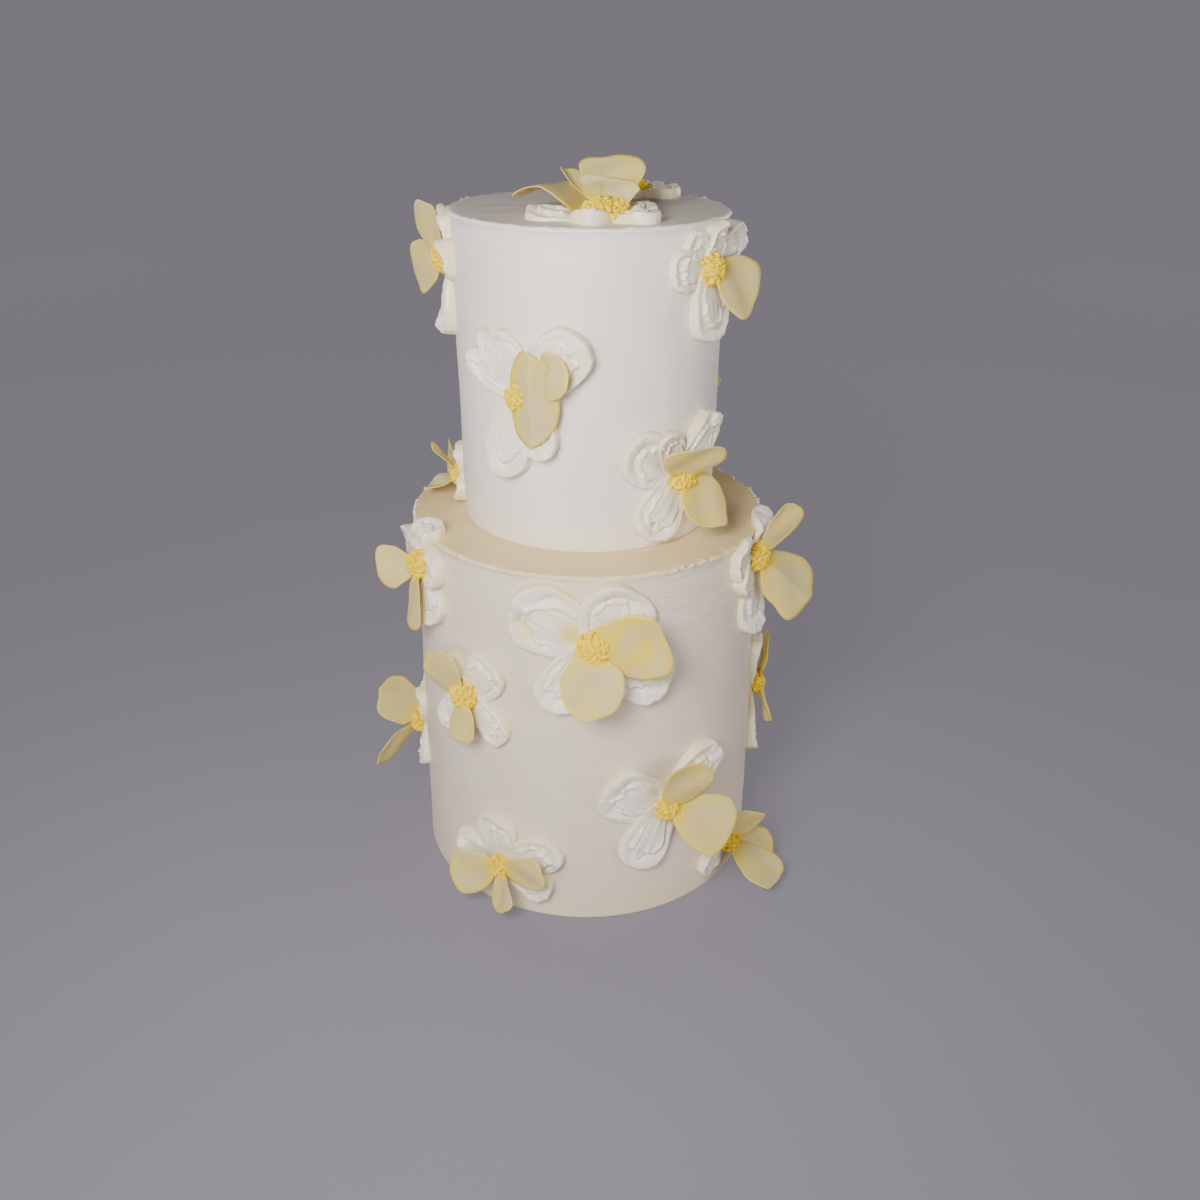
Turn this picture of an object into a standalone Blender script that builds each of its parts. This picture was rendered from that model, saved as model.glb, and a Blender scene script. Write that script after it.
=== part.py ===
# Christening cake: two tall round tiers coated in smooth buttercream, one set on the other, and
# dressed with flowers. Each flower is a few cream petals spread on the coat with a palette knife,
# a few stiff petals of pale yellow wafer paper standing over them, and a crumbly yellow middle.
# Metres, +Z up. The origin is the middle of the lower tier's foot, and the front faces -Y.

import math
import random

import bmesh
import bpy
from mathutils import Matrix, Vector, noise

# Driving dimensions of the tiers
LOWER_RADIUS = 0.0800
LOWER_HEIGHT = 0.1790
LOWER_FOOT_FLARE = 0.0027
UPPER_RADIUS = 0.0578
UPPER_HEIGHT = 0.1320
UPPER_FOOT_FLARE = -0.0009
RIM_LIP = 0.0011
RIM_LIP_HEIGHT = 0.0060
RIM_ROUND = 0.0014
RIM_CORNER = 0.29 * RIM_ROUND
FOOT_ROUND = 0.0010
TIER_STEPS = 40

# Clearances between pieces that touch
GAP = 0.0003
FLOOR_CLEARANCE = 0.0006

# Cream petals: a flat stroke, low in the middle and at its inner end, with a raised rim
MM = 0.001
FOOT_RING = 1.03
TOP_RINGS = (0.95, 0.66, 0.34)
NOTCH_REACH = 0.0060
RIM_AT = 0.84
RIM_SPREAD = 0.22
EDGE_STEPS = 80
STROKE_START = -0.0030
STROKE_LOW = 0.0016
STROKE_SINK = 0.0030
STROKE_TAPER = 0.24
STROKE_RISE = 0.8
STROKE_UNEVEN = 0.07
UNEVEN_STEP = 0.7
UNEVEN_DRAW = 3.1

# Where a stroke's outline is traced: its half span, the share of the room to its neighbour, and inside it
SPAN_WIDER = 1.06
SPAN_AT = 0.66
SPAN_ROOM = 0.9
SPAN_INNER = 0.6

# Wafer petals: thin stiff sheets, narrow where they are pushed into the middle
WAFER_THICKNESS = 0.0008
WAFER_SIDES = 8
WAFER_INNER_RING = 0.45
WAFER_START = 0.0015
WAFER_SEAT = 0.0052
WAFER_TAPER = 0.38
WAFER_WAVE = 0.0009
WAVE_ALONG = 2.6
WAVE_ACROSS = 3.4

# The crumbly middle of a flower
MIDDLE_SEAT = 0.0034
MIDDLE_BELOW = 0.35
MIDDLE_UNEVEN = 0.12


def cream(angle, reach, width, rim=4.0):
    """A stroke of cream from the flower's middle: direction in degrees, sizes in millimetres."""
    return {"angle": math.radians(angle), "reach": reach * MM, "width": width * MM, "rim": rim * MM}


def wafer(angle, reach, width, lift, roll=0, curl=0, fold=0):
    """A wafer petal, in degrees: direction, lift, roll about its length, bend along it and crease."""
    return {"angle": math.radians(angle), "reach": reach * MM, "width": width * MM,
            "lift": math.radians(lift), "roll": math.radians(roll), "curl": math.radians(curl),
            "fold": math.radians(fold)}


def middle(radius, height):
    """The crumbly middle of a flower, in millimetres."""
    return {"radius": radius * MM, "height": height * MM}


LOWER = {"base": 0.0, "top": LOWER_HEIGHT, "radius": LOWER_RADIUS, "flare": LOWER_FOOT_FLARE}
UPPER = {"base": LOWER_HEIGHT + GAP, "top": LOWER_HEIGHT + GAP + UPPER_HEIGHT, "radius": UPPER_RADIUS,
         "flare": UPPER_FOOT_FLARE}

# Flowers on a wall: the tier, how far round it from the front in degrees, the height of the flower's
# middle in millimetres, the middle, the cream and the wafer. A petal's angle is 0 to the right, 90 up.
WALL_FLOWERS = {
    "upper_left_rim": (UPPER, -86, 291, middle(6.5, 5.0), [
        cream(88, 20, 15, rim=6.0), cream(5, 16, 16, rim=5.5), cream(-84, 31, 17, rim=6.5),
        cream(176, 20, 16)],
        [wafer(98, 24, 18, lift=20, roll=34), wafer(204, 25, 21, lift=34, roll=-10)]),
    "upper_right_rim": (UPPER, 53.5, 293, middle(6.5, 5.0), [
        cream(136, 18, 14), cream(176, 21, 16), cream(62, 18, 14), cream(22, 30, 15, rim=6.5),
        cream(-84, 29, 21)],
        [wafer(328, 25, 27, lift=22, roll=-16, curl=8)]),
    "upper_middle": (UPPER, -26.5, 246, middle(5.8, 4.6), [
        cream(148, 29, 16), cream(112, 28, 15), cream(44, 36, 22, rim=4.5), cream(-66, 27, 16),
        cream(-106, 37, 19)],
        [wafer(4, 23, 31, lift=58, curl=-84), wafer(36, 26, 16, lift=12, roll=-8, curl=-10)]),
    "upper_right_low": (UPPER, 41.5, 208.5, middle(6.0, 4.8), [
        cream(146, 31, 22), cream(110, 23, 14), cream(-124, 30, 23), cream(47, 33, 15), cream(-62, 21, 9)],
        [wafer(72, 21, 24, lift=38, roll=-20), wafer(334, 26, 27, lift=22, roll=-16, curl=6)]),
    "upper_left_low": (UPPER, -97, 190, middle(5.6, 4.4), [
        cream(70, 18, 14), cream(-22, 14, 12), cream(-140, 16, 14), cream(172, 22, 17)],
        [wafer(100, 19, 14, lift=45, roll=10), wafer(268, 17, 17, lift=72), wafer(176, 24, 20, lift=26)]),
    "lower_left_rim": (LOWER, -63, 164, middle(7.0, 5.2), [
        cream(84, 24, 17, rim=5.5), cream(8, 18, 16, rim=5.5), cream(-56, 27, 16, rim=5.0),
        cream(176, 26, 20)],
        [wafer(196, 20, 19, lift=46, curl=10), wafer(286, 29, 17, lift=12)]),
    "centre": (LOWER, 3, 148, middle(8.2, 6.0), [
        cream(153, 39, 31, rim=5.0), cream(60, 33, 33, rim=5.0), cream(-124, 37, 21, rim=4.5),
        cream(-36, 38, 27)],
        [wafer(14, 34, 31, lift=21, curl=-16), wafer(267, 30, 27, lift=34, curl=4)]),
    "lower_left_middle": (LOWER, -40, 113, middle(7.0, 5.2), [
        cream(50, 26, 20), cream(-42, 28, 16), cream(-122, 26, 15), cream(132, 19, 14)],
        [wafer(122, 26, 19, lift=18, curl=-14), wafer(298, 21, 16, lift=24)]),
    "lower_left_side": (LOWER, -86, 62, middle(6.5, 5.0), [
        cream(62, 25, 14), cream(-48, 23, 13), cream(-118, 26, 17), cream(150, 27, 19)],
        [wafer(96, 27, 24, lift=34, roll=-36), wafer(310, 28, 16, lift=44, roll=14)]),
    "lower_right_rim": (LOWER, 66, 168, middle(6.5, 5.0), [
        cream(172, 21, 18, rim=5.5), cream(-140, 21, 15, rim=5.0), cream(-96, 37, 18, rim=5.0),
        cream(20, 24, 18)],
        [wafer(66, 28, 16, lift=36, roll=-32), wafer(304, 35, 27, lift=38, fold=14, roll=4)]),
    "lower_right_side": (LOWER, 90, 83, middle(6.5, 4.6), [
        cream(112, 34, 16, rim=4.5), cream(-106, 36, 15, rim=4.5), cream(-20, 27, 20), cream(48, 26, 19)],
        [wafer(76, 26, 18, lift=10), wafer(236, 22, 17, lift=16), wafer(330, 25, 20, lift=16)]),
    "lower_right_front": (LOWER, 26.5, 60.5, middle(6.0, 4.8), [
        cream(154, 33, 26, rim=4.5), cream(-117, 34, 22), cream(43, 36, 20, rim=4.5)],
        [wafer(70, 28, 23, lift=18, curl=-8), wafer(337, 32, 26, lift=26, roll=-24)]),
    "lower_right_foot": (LOWER, 56, 20, middle(6.0, 4.8), [
        cream(-152, 22, 15), cream(-40, 18, 13), cream(112, 17, 13)],
        [wafer(84, 23, 18, lift=26, roll=-30), wafer(330, 26, 18, lift=36, roll=-24),
         wafer(272, 30, 22, lift=66)]),
    "lower_left_foot": (LOWER, -27.5, 26, middle(5.8, 4.6), [
        cream(168, 27, 14), cream(100, 27, 20), cream(30, 31, 20), cream(-24, 26, 16)],
        [wafer(196, 26, 23, lift=20, roll=8), wafer(300, 21, 14, lift=34, roll=12),
         wafer(6, 28, 15, lift=16, curl=-10)]),
    "upper_back_high": (UPPER, 160, 282, middle(6.2, 4.8), [
        cream(98, 24, 17), cream(28, 27, 18), cream(-60, 26, 16, rim=4.5), cream(-142, 30, 17),
        cream(156, 24, 15)],
        [wafer(40, 27, 23, lift=24, curl=-8), wafer(188, 26, 20, lift=38, roll=12)]),
    "upper_back_low": (UPPER, 130, 208, middle(6.0, 4.8), [
        cream(134, 28, 19), cream(52, 24, 16), cream(-26, 27, 18), cream(-122, 23, 16)],
        [wafer(96, 26, 19, lift=36, roll=-16), wafer(342, 26, 24, lift=20, curl=6)]),
    "upper_back_left": (UPPER, -146, 238, middle(6.4, 5.0), [
        cream(118, 30, 19, rim=4.5), cream(38, 26, 16), cream(-46, 27, 17), cream(-118, 29, 15),
        cream(178, 23, 16)],
        [wafer(258, 29, 24, lift=30), wafer(14, 25, 18, lift=42, fold=20), wafer(128, 27, 17, lift=16)]),
    "lower_back_rim": (LOWER, 170, 156, middle(7.6, 5.6), [
        cream(142, 25, 22, rim=5.0), cream(46, 26, 21, rim=5.0), cream(-40, 34, 23),
        cream(-128, 35, 24, rim=4.5)],
        [wafer(200, 31, 26, lift=22, curl=-12), wafer(298, 32, 25, lift=34)]),
    "lower_back_right": (LOWER, 128, 112, middle(6.8, 5.2), [
        cream(154, 29, 20), cream(80, 30, 18, rim=4.5), cream(2, 26, 17), cream(-76, 32, 20)],
        [wafer(118, 29, 23, lift=22, roll=12), wafer(322, 28, 22, lift=30, roll=-18)]),
    "lower_back_left": (LOWER, -132, 122, middle(7.0, 5.2), [
        cream(166, 31, 21), cream(72, 28, 18), cream(-8, 30, 22, rim=4.5), cream(-98, 27, 17)],
        [wafer(44, 28, 22, lift=28, curl=8), wafer(236, 31, 25, lift=20, curl=-8)]),
    "lower_back_foot_right": (LOWER, 158, 38, middle(6.2, 4.8), [
        cream(140, 29, 21), cream(58, 27, 18), cream(-18, 27, 19), cream(-140, 27, 16)],
        [wafer(92, 27, 20, lift=20), wafer(214, 27, 21, lift=42, roll=-14), wafer(330, 26, 19, lift=28)]),
    "lower_back_foot_left": (LOWER, -119, 30, middle(6.0, 4.8), [
        cream(122, 28, 18), cream(34, 26, 18), cream(-34, 24, 15), cream(-160, 26, 16)],
        [wafer(60, 27, 21, lift=30, roll=16), wafer(188, 28, 20, lift=18, curl=-8)]),
}

# Flowers on the flat top: where the middle is, in millimetres from the axis, then the same. A petal's
# angle is 0 towards +X, 90 towards the back.
TOP_FLOWERS = {
    "top_front": ((7, -35), middle(10.0, 4.6), [
        cream(176, 32, 15, rim=3.6), cream(-128, 17, 15, rim=4.2), cream(-24, 22, 14, rim=3.6),
        cream(38, 23, 17, rim=3.4)],
        [wafer(172, 36, 26, lift=40, roll=30, curl=-72), wafer(74, 25, 27, lift=44),
         wafer(50, 15, 22, lift=72), wafer(132, 28, 14, lift=22)]),
    "top_back": ((21, 38), middle(4.4, 3.6), [
        cream(150, 20, 15, rim=6.0), cream(62, 17, 14, rim=5.6), cream(-26, 20, 15, rim=6.0),
        cream(-118, 15, 11, rim=4.6)],
        [wafer(196, 20, 16, lift=26)]),
}


def radius_at(tier, height):
    """The coat's radius at a height, with the slight flare to the foot and the lip under the rim."""
    part_way = (tier["top"] - height) / (tier["top"] - tier["base"])
    lip = max(0.0, 1 - (tier["top"] - height) / RIM_LIP_HEIGHT)
    return tier["radius"] + tier["flare"] * min(max(part_way, 0.0), 1.0) + RIM_LIP * min(lip, 1.0) ** 2


def tier_profile(tier, grow):
    """Half of the tier's outline, from the top's middle down to the foot's, grown by a clearance."""
    top, base = tier["top"] + grow, tier["base"] - grow
    rim = radius_at(tier, tier["top"]) + grow
    foot = radius_at(tier, tier["base"]) + grow
    wall_top = tier["top"] - RIM_LIP_HEIGHT
    points = [(0.0, top), (rim - RIM_ROUND, top)]
    points.append((rim - RIM_CORNER, top - RIM_CORNER))
    points.append((rim, top - RIM_ROUND))
    points.append((radius_at(tier, wall_top) + grow, wall_top))
    points += [(foot, base + FOOT_ROUND), (foot - FOOT_ROUND, base), (0.0, base)]
    return points


def new_object(name, mesh, collection):
    thing = bpy.data.objects.new(name, mesh)
    collection.objects.link(thing)
    return thing


def turned_tier(name, tier, grow, collection):
    """A tier is its profile turned round the axis."""
    mesh = bpy.data.meshes.new(name)
    points = tier_profile(tier, grow)
    mesh.from_pydata([(r, 0.0, z) for r, z in points], [(i, i + 1) for i in range(len(points) - 1)], [])
    thing = new_object(name, mesh, collection)
    screw = thing.modifiers.new("turn", "SCREW")
    screw.axis = "Z"
    screw.angle = math.tau
    screw.steps = TIER_STEPS
    screw.render_steps = TIER_STEPS
    screw.use_merge_vertices = True
    screw.merge_threshold = 1e-6
    return thing


def wall_point(tier, azimuth, height, across, up, out):
    """A point near a wall: across and up are measured on the coat, which turns inwards over the rim."""
    z = height + up
    turn = azimuth + across / tier["radius"]
    past_rim = z - (tier["top"] - RIM_ROUND)
    distance = radius_at(tier, min(z, tier["top"])) + out
    if past_rim > 0:
        bend = min(past_rim / RIM_ROUND, math.pi / 2)
        level = max(past_rim - RIM_ROUND * math.pi / 2, 0.0)
        distance = radius_at(tier, tier["top"]) - RIM_ROUND + (RIM_ROUND + out) * math.cos(bend) - level
        z = tier["top"] - RIM_ROUND + (RIM_ROUND + out) * math.sin(bend)
    return Vector((distance * math.sin(turn), -distance * math.cos(turn), max(z, FLOOR_CLEARANCE)))


def wall_site(tier, azimuth, height):
    """Where a wall flower grows: how its strokes follow the coat, and its stiff petals' straight axes."""
    turn = math.radians(azimuth)
    level = height * MM
    across, outwards = (math.cos(turn), math.sin(turn), 0), (math.sin(turn), -math.cos(turn), 0)
    axes = Matrix((across, (0, 0, 1), outwards)).transposed()
    return {
        "on_coat": lambda across, up, out: wall_point(tier, turn, level, across, up, out),
        "origin": wall_point(tier, turn, level, 0, 0, 0),
        "axes": axes,
    }


def top_site(x, y):
    """Where a flower on the flat top grows."""
    origin = Vector((x * MM, y * MM, UPPER["top"]))
    return {
        "on_coat": lambda across, up, out: origin + Vector((across, up, out)),
        "origin": origin,
        "axes": Matrix.Identity(3),
    }


def stroke_coordinates(petal, along, beside):
    """Where a point lies in a stroke: -1 to 1 along it, and 0 at its middle to 1 at its edge."""
    halfway = (petal["reach"] + STROKE_START) / 2
    x = (along - halfway) / (petal["reach"] - halfway)
    y = beside / (petal["width"] / 2 * (1 + STROKE_TAPER * max(min(x, 1), -1)))
    return x, math.hypot(x, y)


def stroke_edge(petal, turn):
    """How far a stroke reaches from the flower's middle in a direction given from the stroke's own."""
    for step in range(EDGE_STEPS):
        distance = petal["reach"] * (1 - step / EDGE_STEPS)
        if stroke_coordinates(petal, distance * math.cos(turn), distance * math.sin(turn))[1] <= 1:
            return distance
    return 0.0


def stroke_height(petal, along, beside):
    """How high a stroke stands off the coat: lowest at the inner end, highest along the outer rim."""
    x, ring = stroke_coordinates(petal, along, beside)
    ridge = math.exp(-(((min(ring, RIM_AT) - RIM_AT) / RIM_SPREAD) ** 2))
    outer = ((1 + max(min(x, 1), -1)) / 2) ** STROKE_RISE
    return (STROKE_LOW + (petal["rim"] - STROKE_LOW) * ridge * outer) if ring <= 1.0 else STROKE_LOW


def flower_directions(strokes):
    """The directions that trace the strokes' outlines: several across each stroke and one in each notch."""
    order = sorted(strokes, key=lambda petal: petal["angle"] % math.tau)
    angles = [petal["angle"] % math.tau for petal in order]
    spans = [math.atan2(petal["width"] / 2 * SPAN_WIDER, petal["reach"] * SPAN_AT) for petal in order]
    directions = []
    for i, petal in enumerate(order):
        following = (i + 1) % len(order)
        own, last, following_span = spans[i], spans[i - 1], spans[following]
        room = (angles[following] - angles[i]) % math.tau
        before = (angles[i] - angles[i - 1]) % math.tau
        right = min(own, before * own / (own + last) * SPAN_ROOM)
        left = min(own, room * own / (own + following_span) * SPAN_ROOM)
        ahead = min(following_span, room * following_span / (own + following_span) * SPAN_ROOM)
        for turn in (-right, -SPAN_INNER * right, 0, SPAN_INNER * left, left):
            directions.append(angles[i] + turn)
        directions.append(angles[i] + (left + room - ahead) / 2)
    return directions


def cream_petals(site, strokes, seed):
    """A flower's strokes as one low relief: a disc whose outline and height follow the strokes."""
    directions = flower_directions(strokes)
    reaches = []
    for i, direction in enumerate(directions):
        reach = max(stroke_edge(petal, direction - petal["angle"]) for petal in strokes)
        uneven = 1 + STROKE_UNEVEN * noise.noise(Vector((UNEVEN_STEP * i, 0.3, UNEVEN_DRAW * seed)))
        reaches.append(max(reach, NOTCH_REACH) * uneven)
    relief = bmesh.new()
    bmesh.ops.create_cone(relief, cap_ends=True, segments=len(directions), radius1=FOOT_RING,
                          radius2=TOP_RINGS[0], depth=1)
    caps = sorted((face for face in relief.faces if len(face.verts) == len(directions)),
                  key=lambda face: face.calc_center_median().z)
    corner = math.cos(math.pi / len(directions))
    for outer, inner in zip(TOP_RINGS, TOP_RINGS[1:]):
        bmesh.ops.inset_region(relief, faces=[caps[1]], thickness=(outer - inner) * corner,
                               use_even_offset=True)
    bmesh.ops.poke(relief, faces=caps)
    for vert in relief.verts:
        x, y, layer = vert.co
        ring = math.hypot(x, y)
        turn = round(math.atan2(y, x) / math.tau * len(directions)) % len(directions)
        direction, distance = directions[turn], reaches[turn] * ring
        across, up = distance * math.cos(direction), distance * math.sin(direction)
        out = -STROKE_SINK
        if layer > 0:
            out = max(stroke_height(petal, distance * math.cos(direction - petal["angle"]),
                                    distance * math.sin(direction - petal["angle"])) for petal in strokes)
        vert.co = site["on_coat"](across, up, out)
    relief.normal_update()
    bmesh.ops.recalc_face_normals(relief, faces=relief.faces)
    mesh = bpy.data.meshes.new("petals")
    relief.to_mesh(mesh)
    relief.free()
    return mesh


def wafer_sheet(site, petal, seed):
    """One wafer petal: a disc stretched to the petal's outline, bent along its length and creased."""
    sheet = bmesh.new()
    bmesh.ops.create_circle(sheet, cap_ends=True, segments=WAFER_SIDES, radius=1)
    disc = sheet.faces[:]
    bmesh.ops.inset_region(sheet, faces=disc, thickness=WAFER_INNER_RING, use_boundary=True,
                           use_even_offset=True)
    bmesh.ops.poke(sheet, faces=disc)
    bmesh.ops.triangulate(sheet, faces=sheet.faces)
    length = petal["reach"] - WAFER_START
    for vert in sheet.verts:
        x, y = vert.co.x, vert.co.y
        part_way = (1 + x) / 2
        slope = petal["lift"] + petal["curl"] * part_way / 2
        along = WAFER_START + length * part_way * math.cos(slope)
        rise = WAFER_SEAT + length * part_way * math.sin(slope)
        beside = y * petal["width"] / 2 * (1 + WAFER_TAPER * x)
        wave = WAFER_WAVE * math.sin(WAVE_ALONG * x + WAVE_ACROSS * y + seed) * part_way
        wave -= abs(beside) * math.tan(petal["fold"])
        over = Vector((-math.sin(slope), 0, math.cos(slope)))
        ahead = Vector((math.cos(slope), 0, math.sin(slope)))
        turned = Matrix.Rotation(petal["roll"], 3, ahead) @ Vector((0, beside, 0))
        local = Vector((along, 0, rise)) + turned + over * wave
        vert.co = site["origin"] + site["axes"] @ (Matrix.Rotation(petal["angle"], 3, "Z") @ local)
    mesh = bpy.data.meshes.new("wafer")
    sheet.to_mesh(mesh)
    sheet.free()
    return mesh


def middle_dome(site, size, seed):
    """The crumbly middle: a low uneven dome, flat below so that it stays clear of the cream."""
    draw = random.Random(seed)
    dome = bmesh.new()
    bmesh.ops.create_icosphere(dome, subdivisions=2, radius=1)
    for vert in dome.verts:
        lump = 1 + MIDDLE_UNEVEN * draw.uniform(-1, 1)
        level = max(vert.co.z, -MIDDLE_BELOW)
        local = Vector((vert.co.x, vert.co.y, 0)) * size["radius"] * lump
        rise = (level + MIDDLE_BELOW) / (1 + MIDDLE_BELOW) * size["height"]
        local.z = MIDDLE_SEAT + rise * (lump if level > 0 else 1)
        vert.co = site["origin"] + site["axes"] @ local
    bmesh.ops.dissolve_limit(dome, angle_limit=math.radians(1), verts=dome.verts, edges=dome.edges)
    mesh = bpy.data.meshes.new("middle")
    dome.to_mesh(mesh)
    dome.free()
    return mesh


def fused(name, pieces, collection):
    """Joins the pieces into one solid and clears the pieces away."""
    body, others = pieces[0], pieces[1:]
    group = bpy.data.collections.new(name + " pieces")
    bpy.context.scene.collection.children.link(group)
    for piece in others:
        collection.objects.unlink(piece)
        group.objects.link(piece)
    union = body.modifiers.new("join", "BOOLEAN")
    union.operation = "UNION"
    union.operand_type = "COLLECTION"
    union.collection = group
    union.solver = "MANIFOLD"
    bpy.context.view_layer.update()
    graph = bpy.context.evaluated_depsgraph_get()
    mesh = bpy.data.meshes.new_from_object(body.evaluated_get(graph))
    mesh.name = name
    for piece in pieces:
        bpy.data.objects.remove(piece, do_unlink=True)
    bpy.data.collections.remove(group)
    return new_object(name, mesh, collection)


def material(name, color, roughness):
    finish = bpy.data.materials.new(name)
    finish.use_nodes = True
    shader = finish.node_tree.nodes["Principled BSDF"]
    shader.inputs["Base Color"].default_value = (*color, 1)
    shader.inputs["Roughness"].default_value = roughness
    shader.inputs["Metallic"].default_value = 0
    return finish


def finish_object(thing, finish):
    thing.data.materials.clear()
    thing.data.materials.append(finish)
    thing.data.shade_smooth()
    thing.data.set_sharp_from_angle(angle=math.radians(40))


def cream_solid(name, site, strokes, seed, cake, cutters):
    """The strokes are spread over the coat, so the tiers, grown by the gap, are cut from their underside."""
    petals = new_object(name, cream_petals(site, strokes, seed), cake)
    for cutter in cutters:
        cut = petals.modifiers.new("clear of the coat", "BOOLEAN")
        cut.operation = "DIFFERENCE"
        cut.object = cutter
        cut.solver = "MANIFOLD"
    return petals


def bloom_solid(name, site, size, wafers, seed, cake):
    """The wafer petals and the crumbly middle that holds them."""
    pieces = [new_object("middle", middle_dome(site, size, seed), cake)]
    for i, petal in enumerate(wafers):
        sheet = new_object("wafer", wafer_sheet(site, petal, seed + i), cake)
        shell = sheet.modifiers.new("thickness", "SOLIDIFY")
        shell.thickness = WAFER_THICKNESS
        shell.offset = 0
        pieces.append(sheet)
    return fused(name, pieces, cake)


def main():
    for thing in list(bpy.data.objects):
        bpy.data.objects.remove(thing, do_unlink=True)
    cake = bpy.data.collections.new("Christening cake")
    tools = bpy.data.collections.new("Cutters")
    for collection in (cake, tools):
        bpy.context.scene.collection.children.link(collection)
    coat = material("Buttercream coat", (0.84, 0.80, 0.74), 0.45)
    petal_cream = material("Buttercream petals", (0.88, 0.86, 0.80), 0.38)
    wafer_paper = material("Wafer paper", (0.78, 0.72, 0.42), 0.60)
    cutters = []
    for name, tier in (("lower", LOWER), ("upper", UPPER)):
        finish_object(turned_tier(name + "_tier", tier, 0.0, cake), coat)
        cutter = turned_tier(name + " cutter", tier, GAP, tools)
        cutter.hide_render = True
        cutter.display_type = "WIRE"
        cutters.append(cutter)
    sites = [(name, wall_site(*values[:3]), *values[3:]) for name, values in WALL_FLOWERS.items()]
    sites += [(name, top_site(*values[0]), *values[1:]) for name, values in TOP_FLOWERS.items()]
    for seed, (name, site, size, strokes, wafers) in enumerate(sites):
        finish_object(cream_solid("cream_" + name, site, strokes, 10 * seed, cake, cutters), petal_cream)
        finish_object(bloom_solid("bloom_" + name, site, size, wafers, 10 * seed, cake), wafer_paper)


if __name__ == "__main__":
    main()
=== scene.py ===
# Christening cake: two tall buttercream tiers dressed with palette-knife flowers, wafer-paper petals
# and crumbly yellow middles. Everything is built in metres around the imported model, front towards -Y.

import math
import random

import bmesh
import bpy
from mathutils import Matrix, Vector, noise


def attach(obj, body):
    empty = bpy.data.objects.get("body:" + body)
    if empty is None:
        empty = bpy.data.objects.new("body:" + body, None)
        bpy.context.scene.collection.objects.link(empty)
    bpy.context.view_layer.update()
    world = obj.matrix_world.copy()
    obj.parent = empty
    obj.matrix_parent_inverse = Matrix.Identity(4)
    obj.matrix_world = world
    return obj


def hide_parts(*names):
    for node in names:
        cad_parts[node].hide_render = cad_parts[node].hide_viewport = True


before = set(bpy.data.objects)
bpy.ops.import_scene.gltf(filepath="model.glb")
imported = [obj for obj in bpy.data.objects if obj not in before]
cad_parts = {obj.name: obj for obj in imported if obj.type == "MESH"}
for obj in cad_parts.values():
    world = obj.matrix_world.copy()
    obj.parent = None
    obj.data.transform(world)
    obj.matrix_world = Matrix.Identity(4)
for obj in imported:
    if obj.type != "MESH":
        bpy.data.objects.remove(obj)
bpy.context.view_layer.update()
mm = 0.001

view = {
    "place": (0.00665, -0.48994, 0.37670),  # metres from the middle of the foot
    "lookDown": 26.93,  # degrees below level
    "turnLeft": 0.07,
    "tilt": 0.50,  # the picture leans this far clockwise
    "lens": 33.66,
    "sensor": 36.0,
}

studio = {
    "nearColor": (0.13, 0.121, 0.138), "nearGlow": (0.152, 0.141, 0.164),
    "farColor": (0.002, 0.002, 0.002), "farGlow": (0.198, 0.183, 0.215),  # a plain, even backdrop
    "nearUpTo": 0.20, "farFrom": 1.10,
    "floorRadius": 4.0,
    "sweepRadius": 2.0,  # the floor curves up into a plain wall all round
    "wallTop": 3.0,
    "sweepBends": 12, "turns": 96,
    "airColor": (0.95, 0.93, 1.0),
    "airStrength": 0.05,
    "lamps": [  # each points at the cake's axis, at the height aimAt
        {"name": "keyLamp", "place": (-0.13, -0.45, 0.43), "aimAt": 0.15, "size": 0.17, "power": 3.7},
        {"name": "leftLamp", "place": (-0.70, -0.70, 0.14), "aimAt": 0.12, "size": 0.5, "power": 3.4},
        {"name": "rightLamp", "place": (0.85, -0.62, 0.13), "aimAt": 0.12, "size": 0.6, "power": 6.0},
        {"name": "backLeftLamp", "place": (-1.20, 1.40, 0.34), "aimAt": 0.15, "size": 0.8, "power": 11.0},
        {"name": "backRightLamp", "place": (1.20, 1.40, 0.34), "aimAt": 0.15, "size": 0.8, "power": 12.0},
    ],
}


def linkPiece(name, bm, finish, smooth=True):
    bmesh.ops.remove_doubles(bm, verts=bm.verts, dist=1e-6)
    mesh = bpy.data.meshes.new(name)
    bm.to_mesh(mesh)
    bm.free()
    mesh.materials.append(finish)
    if smooth:
        mesh.shade_smooth()
    piece = bpy.data.objects.new(name, mesh)
    bpy.context.scene.collection.objects.link(piece)
    return piece


def ramp(low, high, value):  # 0 below low, 1 above high, smooth between
    share = min(max((value - low) / (high - low), 0.0), 1.0)
    return share * share * (3 - 2 * share)


def bell(value, middle, spread):
    return math.exp(-(((value - middle) / spread) ** 2))


def makeCamera():
    lens = bpy.data.cameras.new("photoCamera")
    lens.lens = view["lens"]
    lens.sensor_width = view["sensor"]
    lens.clip_start = 0.01
    eye = bpy.data.objects.new("photoCamera", lens)
    bpy.context.scene.collection.objects.link(eye)
    turn = Matrix.Rotation(math.radians(view["turnLeft"]), 4, "Z")
    down = Matrix.Rotation(math.radians(90 - view["lookDown"]), 4, "X")
    tilt = Matrix.Rotation(math.radians(view["tilt"]), 4, "Z")
    eye.matrix_world = Matrix.Translation(view["place"]) @ turn @ down @ tilt
    bpy.context.scene.camera = eye


def makeLamp(lamp):
    light = bpy.data.lights.new(lamp["name"], "AREA")
    light.size = lamp["size"]
    light.energy = lamp["power"]
    holder = bpy.data.objects.new(lamp["name"], light)
    bpy.context.scene.collection.objects.link(holder)
    holder.location = lamp["place"]
    aim = Vector((0, 0, lamp["aimAt"])) - Vector(lamp["place"])
    holder.rotation_euler = aim.to_track_quat("-Z", "Y").to_euler()
    holder.visible_camera = False


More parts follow.
